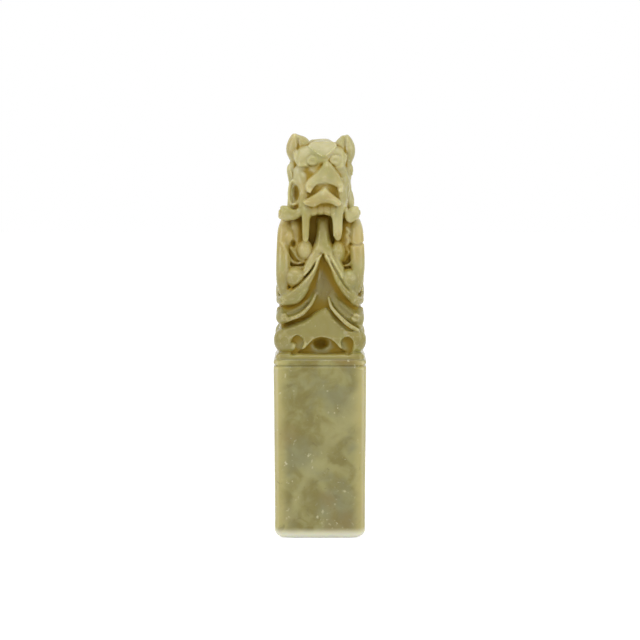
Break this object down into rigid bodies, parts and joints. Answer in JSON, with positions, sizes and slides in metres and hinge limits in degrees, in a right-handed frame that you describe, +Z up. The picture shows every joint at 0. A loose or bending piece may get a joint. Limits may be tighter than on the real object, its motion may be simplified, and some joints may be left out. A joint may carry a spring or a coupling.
{
  "type": "seal stamp",
  "caption": "Tall square stone seal with a dragon's head, beard and clouds carved over its block, and an uncut flat seal face underneath.",
  "frame": {"origin": "centre of the flat seal face, on the surface that the seal stands on", "axes": "+Z up along the stone, the dragon looks along -Y, +X towards the right of someone who faces it"},
  "size_m": [0.02, 0.02, 0.087],
  "materials": {
    "block_stone": "polished",
    "carving_stone": "polished"
  },
  "bodies": {
    "root": {"back_lock_1": "carving_stone", "back_lock_2": "carving_stone", "back_lock_3": "carving_stone", "back_lock_4": "carving_stone", "back_lock_5": "carving_stone", "beard_root": "carving_stone", "brow_shelf": "carving_stone", "cloud_curl_1": "carving_stone", "cloud_curl_2": "carving_stone", "cloud_curl_3": "carving_stone", "cloud_curl_4": "carving_stone", "crown": "carving_stone", "forehead_plate": "carving_stone", "front_apron": "carving_stone", "head": "carving_stone", "left_apron": "carving_stone", "left_beard_lock": "carving_stone", "left_beard_strand": "carving_stone", "left_cheek": "carving_stone", "left_drape": "carving_stone", "left_ear": "carving_stone", "left_eye": "carving_stone", "left_flank": "carving_stone", "left_foreleg": "carving_stone", "left_haunch": "carving_stone", "left_jaw_lobe": "carving_stone", "left_mane": "carving_stone", "left_ribs": "carving_stone", "left_shoulder": "carving_stone", "left_tooth": "carving_stone", "left_tusk": "carving_stone", "left_whisker": "carving_stone", "muzzle": "carving_stone", "nose": "carving_stone", "rear_apron": "carving_stone", "right_apron": "carving_stone", "right_beard_lock": "carving_stone", "right_beard_strand": "carving_stone", "right_cheek": "carving_stone", "right_drape": "carving_stone", "right_ear": "carving_stone", "right_eye": "carving_stone", "right_flank": "carving_stone", "right_foreleg": "carving_stone", "right_haunch": "carving_stone", "right_jaw_lobe": "carving_stone", "right_mane": "carving_stone", "right_ribs": "carving_stone", "right_shoulder": "carving_stone", "right_tooth": "carving_stone", "right_tusk": "carving_stone", "right_whisker": "carving_stone", "seal_block": "block_stone", "spine_scale_1": "carving_stone", "spine_scale_2": "carving_stone", "spine_scale_3": "carving_stone", "tail": "carving_stone", "tail_flames": "carving_stone", "trunk": "carving_stone", "upper_lip": "carving_stone"}
  },
  "joints": []
}
